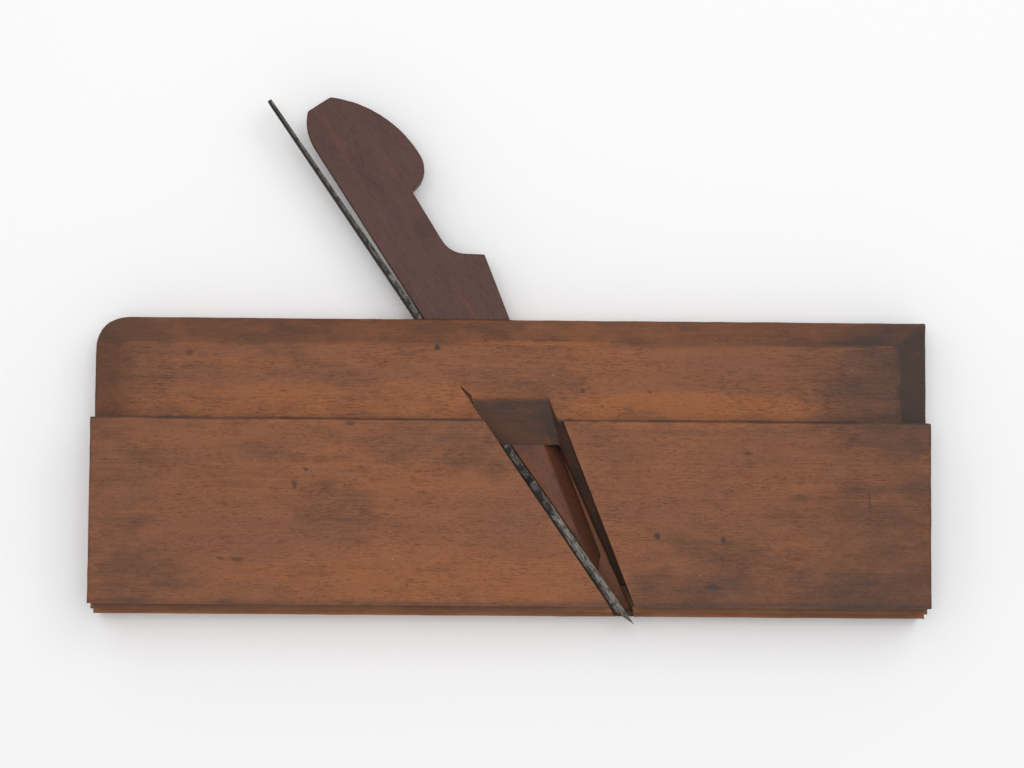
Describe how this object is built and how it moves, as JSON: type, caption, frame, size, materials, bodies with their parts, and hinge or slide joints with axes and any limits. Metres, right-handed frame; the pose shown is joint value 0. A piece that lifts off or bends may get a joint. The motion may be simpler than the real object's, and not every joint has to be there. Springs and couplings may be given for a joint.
{
  "type": "moulding plane",
  "caption": "Wooden side bead moulding plane with a rebated, chamfered grip, a side escapement, a tapered iron with laid steel, and a notched wedge.",
  "frame": {"origin": "middle of the blind side, the flat side that the plane is laid on: halfway along the stock and halfway from the foot of the fence to the top", "axes": "+X to the toe, +Y from the sole to the top, +Z out of the side that the shavings leave by"},
  "size_m": [0.2414, 0.1531, 0.0222],
  "materials": {
    "beech_stock": "old oiled beech, red-brown, dirt in the corners, worn arrises",
    "boxwood": "aged boxwood, close-grained, polished by use",
    "beech_wedge": "dark red-brown oiled beech, handled smooth",
    "forged_iron": "forged wrought iron, dark oxide with pitted bright patches",
    "laid_steel": "ground tool steel, lightly pitted"
  },
  "bodies": {
    "stock": {"stock": "beech_stock", "boxing_heel": "boxwood", "boxing_toe": "boxwood"},
    "wedge": {"wedge": "beech_wedge"},
    "iron": {"iron": "forged_iron", "edge_steel": "laid_steel"}
  },
  "joints": [
    {"name": "wedge_slide", "type": "slide", "parent": "stock", "child": "wedge", "axis": [-0.5743, 0.8186, 0], "range_m": [0, 0.095]},
    {"name": "iron_slide", "type": "slide", "parent": "stock", "child": "iron", "axis": [-0.5664, 0.8241, 0], "range_m": [-0.186, 0.006]}
  ]
}
